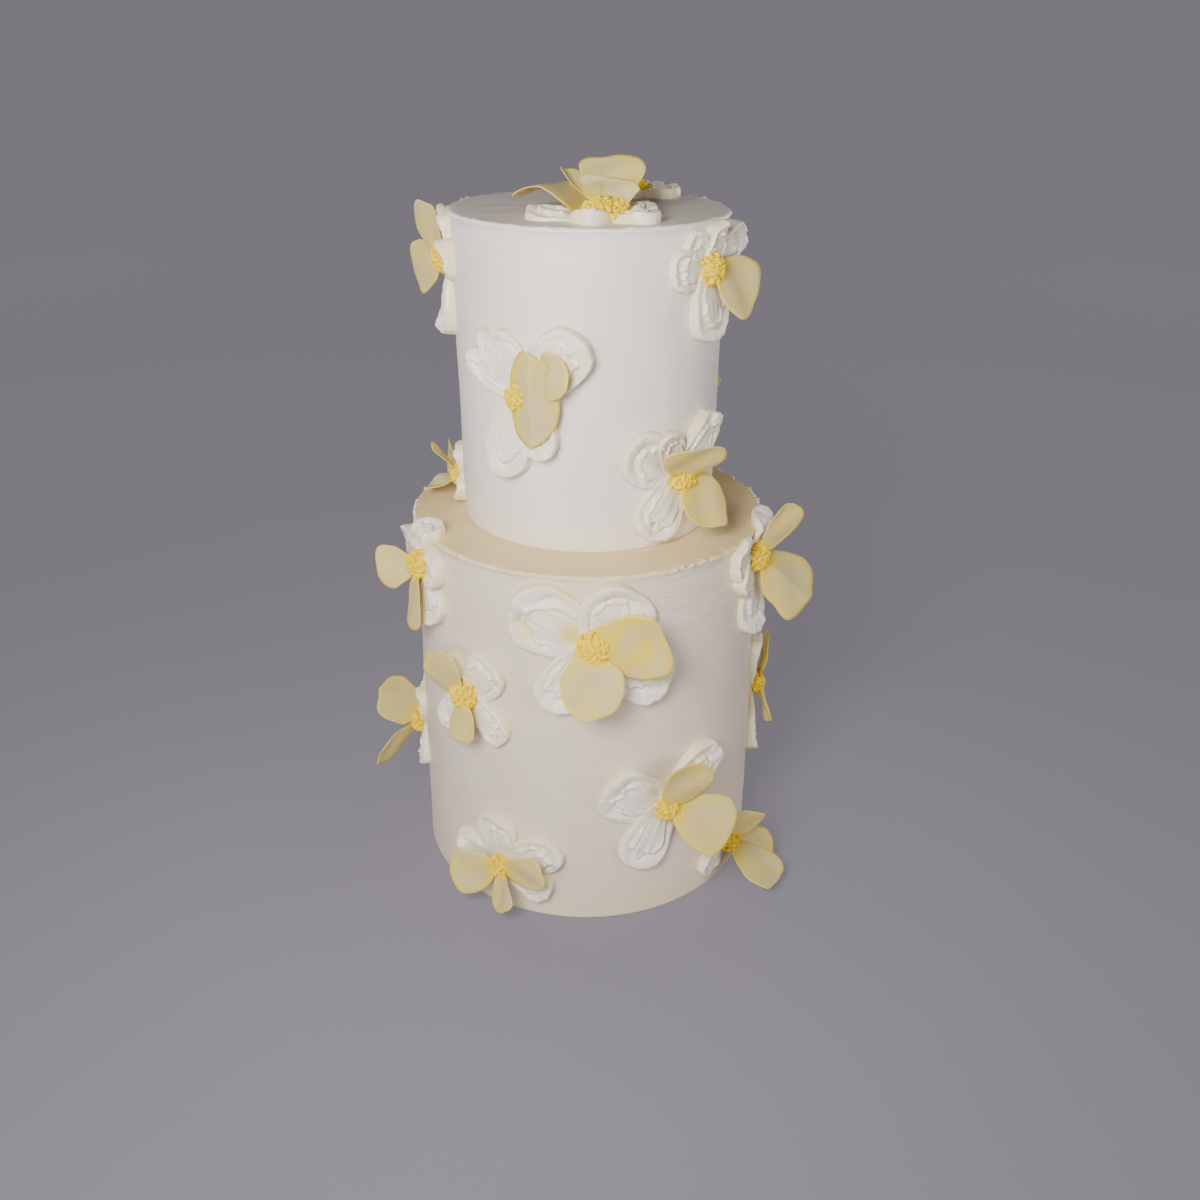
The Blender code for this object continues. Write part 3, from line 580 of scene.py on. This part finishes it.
# Each has its tier, its turn from the front, the height of its middle, the crumbs, the strokes and the sheets
wallFlowers = {
    "upper_left_rim": (upperTier, -86, 291, crumbs(6.5, 5.0), [
        stroke(88, 20, 15, rim=6.0), stroke(5, 16, 16, rim=5.5), stroke(-84, 31, 17, rim=6.5),
        stroke(176, 20, 16)],
        [sheet(98, 24, 17, lift=20, roll=34, square=2.0, angular=0.1),
         sheet(204, 25, 20, lift=34, roll=-10, angular=0.1)]),
    "upper_right_rim": (upperTier, 53.5, 293, crumbs(6.5, 5.0), [
        stroke(136, 18, 14), stroke(176, 21, 16), stroke(62, 18, 14), stroke(22, 30, 15, rim=6.5),
        stroke(-84, 29, 21)],
        [sheet(326, 23, 26, lift=22, roll=-16, curl=8, tint=0.0, tip=0.08, angular=0.1)]),
    "upper_middle": (upperTier, -26.5, 246, crumbs(5.8, 4.6), [
        stroke(112, 28, 15, leaf=1.0, rim=4.6), stroke(150, 29, 14, leaf=1.0, rim=5.2),
        stroke(129, 31, 10, leaf=1.0, rim=3.4),
        stroke(44, 36, 22, rim=4.5, stain=0.3), stroke(-66, 27, 16), stroke(-104, 37, 19, leaf=0.4)],
        [sheet(0, 21, 37, lift=24, crease=-58, square=2.2, taper=-0.1, start=-4.0, seat=3.0, angular=0.1),
         sheet(34, 27, 16, lift=9, roll=-8, seat=1.8, tint=0.1)]),
    "upper_right_low": (upperTier, 41.5, 208.5, crumbs(6.0, 4.8), [
        stroke(146, 31, 22, rim=5.0), stroke(110, 23, 14, leaf=0.4), stroke(-124, 30, 23, leaf=0.7),
        stroke(47, 33, 15), stroke(-62, 21, 9)],
        [sheet(101, 22, 26, lift=36, roll=-22, angular=0.1),
         sheet(306, 25, 23, lift=24, roll=-14, curl=6, tip=0.2, square=2.0, taper=-0.1, angular=0.0)]),
    "upper_left_low": (upperTier, -97, 190, crumbs(5.6, 4.4), [
        stroke(70, 18, 14), stroke(-22, 14, 12), stroke(-140, 16, 14), stroke(172, 22, 17)],
        [sheet(100, 19, 14, lift=45, roll=10), sheet(268, 17, 17, lift=72), sheet(176, 24, 20, lift=26)]),
    "lower_left_rim": (lowerTier, -63, 164, crumbs(7.0, 5.2), [
        stroke(84, 24, 17, rim=5.5), stroke(8, 18, 16, rim=5.5), stroke(-56, 27, 16, rim=5.0),
        stroke(176, 26, 20)],
        [sheet(196, 20, 19, lift=46, curl=10), sheet(286, 29, 17, lift=12)]),
    "centre": (lowerTier, 3, 148, crumbs(8.2, 6.0), [
        stroke(153, 39, 31, rim=5.0, stain=0.5, tongue=1.0), stroke(56, 29, 31, rim=4.6, stain=0.5),
        stroke(-124, 37, 21, rim=4.5), stroke(-36, 38, 27, stain=0.4, ragged=0.9)],
        [sheet(13, 31, 30, lift=25, curl=-18, tint=0.6, square=3.4, skew=-0.06, taper=0.12, angular=0.05),
         sheet(263, 28, 26, lift=34, curl=4, tint=0.12, square=2.15, tip=0.13, taper=0.06, angular=0.12)]),
    "lower_left_middle": (lowerTier, -40, 113, crumbs(7.0, 5.2), [
        stroke(50, 26, 20), stroke(-42, 28, 16), stroke(-122, 26, 15), stroke(132, 19, 14)],
        [sheet(122, 24, 21, lift=18, curl=-14, tint=0.04), sheet(290, 21, 16, lift=20, tint=0.04)]),
    "lower_left_side": (lowerTier, -86, 62, crumbs(6.5, 5.0), [
        stroke(62, 25, 14), stroke(-48, 23, 13), stroke(-118, 26, 17), stroke(150, 27, 19)],
        [sheet(98, 26, 25, lift=42, roll=-42, tint=0.0, square=1.95, taper=0.05, angular=0.0),
         sheet(310, 28, 16, lift=44, roll=14, tip=0.2)]),
    "lower_right_rim": (lowerTier, 66, 168, crumbs(6.5, 5.0), [
        stroke(172, 21, 18, rim=5.5), stroke(-140, 21, 15, rim=5.0), stroke(-96, 37, 18, rim=5.0),
        stroke(20, 24, 18)],
        [sheet(74, 28, 15, lift=27, roll=-32), sheet(304, 35, 27, lift=38, fold=14, roll=4)]),
    "lower_right_side": (lowerTier, 90, 83, crumbs(6.5, 4.6), [
        stroke(112, 34, 16, rim=4.5), stroke(-106, 36, 15, rim=4.5), stroke(-20, 27, 20), stroke(48, 26, 19)],
        [sheet(76, 26, 18, lift=10), sheet(236, 22, 17, lift=16), sheet(330, 25, 20, lift=16)]),
    "lower_right_front": (lowerTier, 26.5, 60.5, crumbs(6.0, 4.8), [
        stroke(154, 33, 26, rim=4.5), stroke(-117, 34, 22), stroke(43, 36, 20, rim=4.5)],
        [sheet(70, 28, 23, lift=18, curl=-8), sheet(337, 32, 26, lift=26, roll=-24)]),
    "lower_right_foot": (lowerTier, 56, 20, crumbs(6.0, 4.8), [
        stroke(-152, 22, 15), stroke(-40, 18, 13), stroke(112, 17, 13)],
        [sheet(84, 23, 18, lift=26, roll=-30), sheet(330, 26, 18, lift=36, roll=-24),
         sheet(272, 30, 22, lift=66)]),
    "lower_left_foot": (lowerTier, -27.5, 26, crumbs(5.8, 4.6), [
        stroke(168, 27, 14), stroke(100, 27, 20), stroke(30, 31, 20), stroke(-24, 26, 16)],
        [sheet(196, 24, 22, lift=20, roll=8), sheet(300, 21, 14, lift=34, roll=12),
         sheet(16, 28, 16, lift=11, curl=-8, tint=0.06)]),
    "upper_back_high": (upperTier, 160, 282, crumbs(6.2, 4.8), [
        stroke(98, 24, 17), stroke(28, 27, 18), stroke(-60, 26, 16, rim=4.5), stroke(-142, 30, 17),
        stroke(156, 24, 15)],
        [sheet(40, 27, 23, lift=24, curl=-8), sheet(188, 26, 20, lift=38, roll=12)]),
    "upper_back_low": (upperTier, 130, 208, crumbs(6.0, 4.8), [
        stroke(134, 28, 19), stroke(52, 24, 16), stroke(-26, 27, 18), stroke(-122, 23, 16)],
        [sheet(96, 26, 19, lift=36, roll=-16), sheet(342, 26, 24, lift=20, curl=6)]),
    "upper_back_left": (upperTier, -146, 238, crumbs(6.4, 5.0), [
        stroke(118, 30, 19, rim=4.5), stroke(38, 26, 16), stroke(-46, 27, 17), stroke(-118, 29, 15),
        stroke(178, 23, 16)],
        [sheet(258, 29, 24, lift=30), sheet(14, 25, 18, lift=42, fold=20), sheet(128, 27, 17, lift=16)]),
    "lower_back_rim": (lowerTier, 170, 156, crumbs(7.6, 5.6), [
        stroke(142, 25, 22, rim=5.0), stroke(46, 26, 21, rim=5.0), stroke(-40, 34, 23),
        stroke(-128, 35, 24, rim=4.5)],
        [sheet(200, 31, 26, lift=22, curl=-12), sheet(298, 32, 25, lift=34)]),
    "lower_back_right": (lowerTier, 128, 112, crumbs(6.8, 5.2), [
        stroke(154, 29, 20), stroke(80, 30, 18, rim=4.5), stroke(2, 26, 17), stroke(-76, 32, 20)],
        [sheet(118, 29, 23, lift=22, roll=12), sheet(322, 28, 22, lift=30, roll=-18)]),
    "lower_back_left": (lowerTier, -132, 122, crumbs(7.0, 5.2), [
        stroke(166, 31, 21), stroke(72, 28, 18), stroke(-8, 30, 22, rim=4.5), stroke(-98, 27, 17)],
        [sheet(44, 28, 22, lift=28, curl=8), sheet(236, 31, 25, lift=20, curl=-8)]),
    "lower_back_foot_right": (lowerTier, 158, 38, crumbs(6.2, 4.8), [
        stroke(140, 29, 21), stroke(58, 27, 18), stroke(-18, 27, 19), stroke(-140, 27, 16)],
        [sheet(92, 27, 20, lift=20), sheet(214, 27, 21, lift=42, roll=-14), sheet(330, 26, 19, lift=28)]),
    "lower_back_foot_left": (lowerTier, -119, 30, crumbs(6.0, 4.8), [
        stroke(122, 28, 18), stroke(34, 26, 18), stroke(-34, 24, 15), stroke(-160, 26, 16)],
        [sheet(60, 27, 21, lift=30, roll=16), sheet(188, 28, 20, lift=18, curl=-8)]),
}

# On the flat top a flower's place is given from the axis, and its angles run from +X to the back
topFlowers = {
    "top_front": ((7, -35), crumbs(10.0, 4.6), [
        stroke(176, 32, 15, rim=3.6), stroke(-128, 17, 15, rim=4.2), stroke(-24, 22, 14, rim=3.6),
        stroke(38, 23, 17, rim=3.4)],
        [sheet(156, 40, 30, lift=64, roll=3, curl=-90, crease=-22, taper=0.0, square=2.3, start=10.0,
               seat=1.5, tint=0.04, angular=0.1),
         sheet(80, 25, 24, lift=44, square=3.4, taper=0.25),
         sheet(70, 14, 22, lift=58, square=3.0, skew=0.3, seat=4.0, tint=0.0),
         sheet(127, 31, 8, lift=28, start=6.0, seat=5.5)]),
    "top_back": ((21, 38), crumbs(4.4, 3.6), [
        stroke(150, 20, 15, rim=4.0), stroke(62, 17, 14, rim=3.8), stroke(-26, 20, 15, rim=4.2),
        stroke(-118, 15, 11, rim=3.6)],
        [sheet(196, 20, 16, lift=26)]),
}

floorGap = 0.6  # the strokes stay this far above the table


def wallPoint(tier, azimuth, height, across, up, out):  # on the coat, which turns inwards over the rim
    z = height + up
    turn = azimuth + across / tier["radius"]
    rimRound = tierShape["rimRound"]
    pastRim = z - (tier["top"] - rimRound)
    distance = coatRadius(tier, min(z, tier["top"])) + out
    if pastRim > 0:
        bend = min(pastRim / rimRound, math.pi / 2)
        level = max(pastRim - rimRound * math.pi / 2, 0)
        distance = coatRadius(tier, tier["top"]) - rimRound + (rimRound + out) * math.cos(bend) - level
        z = tier["top"] - rimRound + (rimRound + out) * math.sin(bend)
    return Vector((distance * math.sin(turn), -distance * math.cos(turn), max(z, floorGap)))


def wallSite(tier, azimuth, height):
    turn = math.radians(azimuth)
    axes = Matrix(((math.cos(turn), math.sin(turn), 0), (0, 0, 1), (math.sin(turn), -math.cos(turn), 0)))
    return {"onCoat": lambda across, up, out: wallPoint(tier, turn, height, across, up, out),
            "origin": wallPoint(tier, turn, height, 0, 0, 0), "axes": axes.transposed()}


def topSite(x, y):
    origin = Vector((x, y, upperTier["top"]))
    return {"onCoat": lambda across, up, out: origin + Vector((across, up, out)),
            "origin": origin, "axes": Matrix.Identity(3)}


# Cream petals: a disc stretched to the knife's stroke. A thick rounded rim runs round the outer end, a
# torn tongue of cream lies inside it, and streaks run in to the flower's middle

strokeShape = {
    "turns": 84, "coarseRings": 6, "fineFrom": 0.40, "fineRings": 20, "square": 2.5, "start": -3.0,
    "taper": 0.24, "sink": 2.2, "low": 1.0, "rimAt": 0.92, "rimWidth": 0.24, "trough": 0.12,
    "rimLeast": 0.14, "rimGrowth": 0.86,  # shares of the rim at the root, and added by the outer end
    "rimSwell": 0.38, "rimTear": 0.10, "rimLean": 1.1, "widthSwell": 0.9, "leastWidth": 0.45,
    "tongueAt": 0.58, "tongueWander": 0.16, "tongueTear": 0.10, "tongueHeight": 1.8, "tearWidth": 0.035,
    "tearLip": 0.9, "streak": 0.50, "fineStreak": 0.22, "lump": 0.8, "layer": 0.55, "wave": 0.08,
    "leafy": 0.75, "raggedEnd": 0.10,
}
strokeTint = {  # shares of lemon yellow
    "overall": 0.06, "edge": 0.55, "edgeSpread": 0.05, "tongue": 0.22, "tongueSpread": 0.10,
    "root": 0.45, "throat": 1.3, "throatAt": (-0.35, -0.15), "throatSpread": (0.35, 0.45),
}
# The rim's outer face, as reach and share of the cream's height
edgeRows = ((0.942, 0.98), (0.960, 0.92), (0.976, 0.81), (0.989, 0.62), (0.998, 0.37), (1.000, 0.06))
buriedReach = 0.985  # the last two rows, under the coat, close the stroke


def strokeRows():  # reach, and share of the cream's height
    fineFrom, rimAt = strokeShape["fineFrom"], strokeShape["rimAt"]
    rows = [(reach, 1.0) for reach in stepped(0, fineFrom, fineFrom / strokeShape["coarseRings"])]
    fineStep = (rimAt - fineFrom) / strokeShape["fineRings"]
    rows += [(reach, 1.0) for reach in stepped(fineFrom, rimAt, fineStep)]
    return rows + [(rimAt, 1.0)] + list(edgeRows) + [(buriedReach, None), (0.0, None)]


def turnedDisc(name, rows, turns):  # a disc of rings, whose height holds the ring's number
    bm = bmesh.new()
    corners = [bm.verts.new((reach, 0, i)) for i, reach in enumerate(rows)]
    sides = [bm.edges.new(pair) for pair in zip(corners, corners[1:])]
    bmesh.ops.spin(bm, geom=corners + sides, cent=(0, 0, 0), axis=(0, 0, 1), angle=math.tau, steps=turns,
                   use_merge=True)
    bmesh.ops.remove_doubles(bm, verts=bm.verts, dist=1e-6)
    mesh = bpy.data.meshes.new(name)
    bm.to_mesh(mesh)
    bm.free()
    return mesh


def addCopy(bm, mesh):  # a copy of a mesh, as the corners that it adds
    start = len(bm.verts)
    bm.from_mesh(mesh)
    bm.verts.ensure_lookup_table()
    return bm.verts[start:]


def around(turn, scale, seed):  # a place for noise that closes on itself round a petal
    return Vector((scale * math.cos(turn), scale * math.sin(turn), seed))


def strokeRelief(petal, seed, x, y, ring, turn):  # height of the cream above the coat
    outer = min(max((1 + x) / 2, 0), 1)
    broad = noise.noise(around(turn, 1.4, seed))
    torn = noise.noise(around(turn, 5.5, seed + 4))
    lean = noise.noise(Vector((seed, 0.5, 0.5)))
    rim = petal["rim"] * (strokeShape["rimLeast"] + strokeShape["rimGrowth"] * outer ** 1.1)
    swell = 1 + strokeShape["rimSwell"] * broad + strokeShape["rimTear"] * torn
    rim *= swell + strokeShape["rimLean"] * lean * y
    crest = strokeShape["rimAt"]
    width = max(1 + strokeShape["widthSwell"] * broad + lean * y, strokeShape["leastWidth"])
    beadWidth = strokeShape["rimWidth"] * width
    inside = math.sqrt(1 - min(max((crest - ring) / beadWidth, 0), 1) ** 2)
    low = strokeShape["low"] + strokeShape["trough"] * petal["rim"] * outer
    height = low + (max(rim, low) - low) * inside
    tear = strokeShape["tongueAt"] + strokeShape["tongueWander"] * noise.noise(around(turn, 2.2, seed + 9))
    tear += strokeShape["tongueTear"] * torn
    raised = strokeShape["tongueHeight"] * (1 - ramp(tear, tear + strokeShape["tearWidth"], ring))
    raised += strokeShape["tearLip"] * bell(ring, tear - 0.03, 0.05)
    height += raised * petal["tongue"] * ramp(0.25, 0.6, outer)
    streaks = noise.noise(Vector((x * 1.0, y * 5.5, seed + 2))) * strokeShape["streak"]
    streaks += noise.noise(Vector((x * 1.6, y * 17, seed + 5))) * strokeShape["fineStreak"]
    height += streaks * ramp(-1.0, -0.4, x) * (1 - 0.6 * inside)
    height += strokeShape["lump"] * petal["ragged"] * inside * noise.noise(Vector((x * 6, y * 6, seed + 6)))
    return height


def strokeOutline(petal, seed, turn):  # how far a square-ended oval reaches, as a share of a circle
    n = strokeShape["square"] - strokeShape["leafy"] * petal["leaf"]
    reach = (abs(math.cos(turn)) ** n + abs(math.sin(turn)) ** n) ** (-1 / n)
    rough = noise.noise(around(turn, 7, seed + 3)) * max(math.cos(turn), 0)
    return reach * (1 + strokeShape["wave"] * noise.noise(around(turn, 1.5, seed + 1))
                    + strokeShape["raggedEnd"] * petal["ragged"] * rough)


def strokeStain(petal, seed, x, y, ring, turn):  # where the cream is lemon yellow
    cloud = ramp(0.0, 0.45, noise.noise(Vector((x * 1.4, y * 1.4, seed + 12))))
    edge = strokeTint["edge"] * bell(ring, 1.0, strokeTint["edgeSpread"])
    edge += strokeTint["tongue"] * bell(ring, strokeShape["tongueAt"], strokeTint["tongueSpread"]) * cloud
    edge *= 0.6 + 0.6 * noise.noise(around(turn, 2, seed))
    root = strokeTint["root"] * ramp(-0.2, -1.0, x)
    (inX, inY), (wideX, wideY) = strokeTint["throatAt"], strokeTint["throatSpread"]
    root += strokeTint["throat"] * petal["stain"] * bell(x, inX, wideX) * bell(y, inY, wideY)
    return min(strokeTint["overall"] + edge + root + petal["stain"] * cloud, 1.0)


def addStroke(bm, site, petal, disc, rows, order, seed, uvLayer, stainLayer):
    halfWay = (petal["reach"] + strokeShape["start"]) / 2
    halfLength = petal["reach"] - halfWay
    ahead, aside = math.cos(petal["angle"]), math.sin(petal["angle"])
    spots = {}
    fresh = addCopy(bm, disc)
    for vert in fresh:
        ring, turn = math.hypot(vert.co.x, vert.co.y), math.atan2(vert.co.y, vert.co.x)
        share = rows[round(vert.co.z)][1]
        reach = ring * strokeOutline(petal, seed, turn)
        x, y = reach * math.cos(turn), reach * math.sin(turn)
        along = halfWay + halfLength * x
        beside = petal["width"] / 2 * y * (1 + strokeShape["taper"] * max(min(x, 1), -1))
        top = strokeRelief(petal, seed, x, y, min(ring, strokeShape["rimAt"]), turn)
        top += strokeShape["layer"] * order
        out = -strokeShape["sink"] if share is None else top * share
        vert.co = site["onCoat"](along * ahead - beside * aside, along * aside + beside * ahead, out) * mm
        vert[stainLayer] = strokeStain(petal, seed, x, y, ring, turn)
        spots[vert] = ((1 + x) / 2 * petal["reach"] / 10, y * petal["width"] / 20 + order)
    for face in {face for vert in fresh for face in vert.link_faces}:
        for loop in face.loops:
            loop[uvLayer].uv = spots[loop.vert]


strokeDisc = turnedDisc("strokeDisc", [reach for reach, share in strokeRows()], strokeShape["turns"])


def makeStrokes(name, site, petals, seed, finish):
    bm = bmesh.new()
    uvLayer = bm.loops.layers.uv.new("alongStroke")
    stainLayer = bm.verts.layers.float.new("stain")
    for order, petal in enumerate(petals):
        addStroke(bm, site, petal, strokeDisc, strokeRows(), order, seed + 20 * order, uvLayer, stainLayer)
    bmesh.ops.recalc_face_normals(bm, faces=bm.faces)
    piece = linkPiece("cream_petals_" + name, bm, finish)
    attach(piece, "root")
    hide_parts("cream_" + name)


# Wafer petals: thin sheets of paper, narrow at the root, with angular edges and a gentle wave

waferShape = {
    "turns": 60, "rings": 11, "wave": 0.9, "thickness": 0.35,
    "ruffle": 0.35, "cup": 0.9, "uneven": 0.10, "cornerSpread": 0.26, "sides": 6,
    "creaseAt": 0.52, "waveAlong": 2.6, "waveAcross": 3.4, "ruffles": 5, "ruffleFrom": 0.6,
}
waferTints = {"patch": 0.35, "edge": 0.70, "edgeFrom": 0.86, "root": 0.80}  # shares of yellow


def waferPoint(petal, seed, x, y, ring, turn):
    n = petal["square"]
    grow = (abs(math.cos(turn)) ** n + abs(math.sin(turn)) ** n) ** (-1 / n)
    grow *= 1 + waferShape["uneven"] * noise.noise(around(turn, 1.8, seed + 0.5))
    grow *= 1 + petal["tip"] * bell(turn, 0, waferShape["cornerSpread"])
    side = math.tau / waferShape["sides"]
    cut = math.cos(side / 2) / math.cos((turn + seed) % side - side / 2)  # nearly straight cuts with corners
    grow *= 1.02 - petal["angular"] * (1 - cut)
    x, y = x * grow, y * grow
    x += petal["skew"] * y * ramp(-0.8, 0.8, x)
    partWay = max((1 + x) / 2, 0)
    slope = petal["lift"] + petal["curl"] * partWay / 2
    length = petal["reach"] - petal["start"]
    bent = max(partWay - waferShape["creaseAt"], 0)
    straight = partWay - bent
    along = straight * math.cos(slope) + bent * math.cos(slope + petal["crease"])
    rise = straight * math.sin(slope) + bent * math.sin(slope + petal["crease"])
    beside = y * petal["width"] / 2 * (1 + petal["taper"] * x)
    phase = waferShape["waveAlong"] * x + waferShape["waveAcross"] * y + seed
    wave = waferShape["wave"] * math.sin(phase) * partWay
    wave -= abs(beside) * math.tan(petal["fold"])
    atEdge = ramp(waferShape["ruffleFrom"], 1.0, ring)
    wave += waferShape["ruffle"] * atEdge * math.sin(waferShape["ruffles"] * turn + seed) * partWay
    wave += waferShape["cup"] * (y * y - 0.4) * partWay
    over = Vector((-math.sin(slope), 0, math.cos(slope)))
    ahead = Vector((math.cos(slope), 0, math.sin(slope)))
    turned = Matrix.Rotation(petal["roll"], 3, ahead) @ Vector((0, beside, 0))
    root = Vector((petal["start"], 0, petal["seat"]))
    return root + Vector((along, 0, rise)) * length + turned + over * wave


def waferTint(petal, seed, x, y, ring, turn):  # yellow at the root, along the edge and in odd patches
    cloud = ramp(-0.1, 0.45, noise.noise(Vector((x * 1.7, y * 1.7, seed))))
    patch = ramp(0.12, 0.40, noise.noise(Vector((x * 3.2, y * 3.2, seed + 7)))) * ramp(0.45, 0.9, ring)
    edge = ramp(waferTints["edgeFrom"], 1.0, ring) * (0.6 + 0.6 * noise.noise(around(turn, 2.5, seed + 3)))
    return min(petal["tint"] * (0.4 + cloud) + waferTints["patch"] * patch + waferTints["edge"] * edge
               + waferTints["root"] * ramp(-0.25, -1.0, x), 1.0)


def addSheet(bm, site, petal, disc, seed, tintLayer):
    turnIn = Matrix.Rotation(petal["angle"], 3, "Z")
    for vert in addCopy(bm, disc):
        x, y = vert.co.x, vert.co.y
        ring, turn = math.hypot(x, y), math.atan2(y, x)
        local = waferPoint(petal, seed, x, y, ring, turn)
        vert.co = (site["origin"] + site["axes"] @ (turnIn @ local)) * mm
        vert[tintLayer] = waferTint(petal, seed, x, y, ring, turn)


waferDisc = turnedDisc("waferDisc", [i / waferShape["rings"] for i in range(waferShape["rings"] + 1)],
                       waferShape["turns"])


def makeWafers(name, site, petals, seed, finish):
    bm = bmesh.new()
    tintLayer = bm.verts.layers.float.new("tint")
    for order, petal in enumerate(petals):
        addSheet(bm, site, petal, waferDisc, seed + order, tintLayer)
    bmesh.ops.recalc_face_normals(bm, faces=bm.faces)
    piece = linkPiece("wafer_petals_" + name, bm, finish)
    paper = piece.modifiers.new("paper", "SOLIDIFY")
    paper.thickness = waferShape["thickness"] * mm
    paper.offset = 0
    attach(piece, "root")
    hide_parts("bloom_" + name)


# Flower middles: a dome of cream packed with small chunky crumbs. The dome is coloured the deep yellow all
# over: painted shade in the gaps between the crumbs

crumbShape = {
    "spacing": 2.0, "least": 0.68, "most": 0.92, "under": 2.5, "seat": 3.4, "shrink": 0.84, "corner": 0.26,
    "lengths": (1.0, 1.4), "widths": (0.7, 1.0), "heights": (0.7, 1.2), "uneven": 0.06,
    "tip": 0.6, "scatter": 0.4, "deepest": 0.5,  # a crumb's tone runs from 0, light, up to this
    "goldenTurn": 2.39996,  # from one crumb to the next, so that they lie evenly
}


def crumbBlock():  # a small block with bevelled edges
    bm = bmesh.new()
    bmesh.ops.create_cube(bm, size=2)
    bmesh.ops.bevel(bm, geom=bm.edges[:], offset=crumbShape["corner"], affect="EDGES", segments=1,
                    profile=0.5, material=-1)
    mesh = bpy.data.meshes.new("crumbBlock")
    bm.to_mesh(mesh)
    bm.free()
    return mesh


def addCrumb(bm, place, upright, size, draw, toneAndGapShadeLayer):
    axis = (upright + crumbShape["tip"] * Vector([draw.uniform(-1, 1) for _ in range(3)])).normalized()
    turn = Matrix.Rotation(draw.uniform(0, math.tau), 3, axis) @ upright.to_track_quat("Z", "Y").to_matrix()
    stretch = Vector([draw.uniform(*crumbShape[side]) for side in ("lengths", "widths", "heights")])
    toneAndGapShade = draw.uniform(0, crumbShape["deepest"])
    for vert in addCopy(bm, crumb):
        lump = 1 + crumbShape["uneven"] * draw.uniform(-1, 1)
        vert.co = (place + turn @ (vert.co * stretch * size * lump)) * mm
        vert[toneAndGapShadeLayer] = toneAndGapShade


crumb = crumbBlock()


def makeCrumbs(name, site, size, seed, finish):
    draw = random.Random(seed)
    bm = bmesh.new()
    toneAndGapShadeLayer = bm.verts.layers.float.new("toneAndGapShade")
    bmesh.ops.create_icosphere(bm, subdivisions=3, radius=1)
    peak = crumbShape["seat"] + size["height"] - crumbShape["under"]
    for vert in bm.verts:
        flat = Vector((vert.co.x, vert.co.y, 0)) * size["radius"] * crumbShape["shrink"]
        flat.z = crumbShape["under"] + max(vert.co.z, -0.6) * (peak - 0.6)
        vert.co = (site["origin"] + site["axes"] @ flat) * mm
        # the whole dome takes the deep yellow: painted shade in the gaps between the crumbs
        vert[toneAndGapShadeLayer] = 1.0
    count = round(2 * math.pi * size["radius"] ** 2 / crumbShape["spacing"] ** 2)
    for i in range(count):
        share = 1 - (i + 0.5) / count * 1.05
        bend = math.acos(max(min(share, 1), -1))
        turn = i * crumbShape["goldenTurn"] + draw.uniform(-0.3, 0.3)
        flat = Vector((math.sin(bend) * math.cos(turn), math.sin(bend) * math.sin(turn), 0)) * size["radius"]
        level = crumbShape["under"] + math.cos(bend) * peak
        flat.z = level + draw.uniform(-crumbShape["scatter"], crumbShape["scatter"])
        outward = Vector((flat.x / size["radius"], flat.y / size["radius"], math.cos(bend) + 0.3))
        upright = (site["axes"] @ outward).normalized()
        addCrumb(bm, site["origin"] + site["axes"] @ (flat * 0.95), upright,
                 draw.uniform(crumbShape["least"], crumbShape["most"]), draw, toneAndGapShadeLayer)
    bmesh.ops.recalc_face_normals(bm, faces=bm.faces)
    piece = linkPiece("flower_middle_" + name, bm, finish, smooth=False)
    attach(piece, "root")
    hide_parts("bloom_" + name)


def makeFlowers():
    cream, paper, yellow = makeCreamFinish(), makeWaferFinish(), makeStamenFinish()
    flowers = [(name, wallSite(*values[:3]), *values[3:]) for name, values in wallFlowers.items()]
    flowers += [(name, topSite(*values[0]), *values[1:]) for name, values in topFlowers.items()]
    for i, (name, site, size, strokes, sheets) in enumerate(flowers):
        makeStrokes(name, site, strokes, 100 * i, cream)
        makeWafers(name, site, sheets, 10 * i, paper)
        makeCrumbs(name, site, size, 10 * i, yellow)
    print(len(flowers), "flowers are on the cake")


makeFlowers()
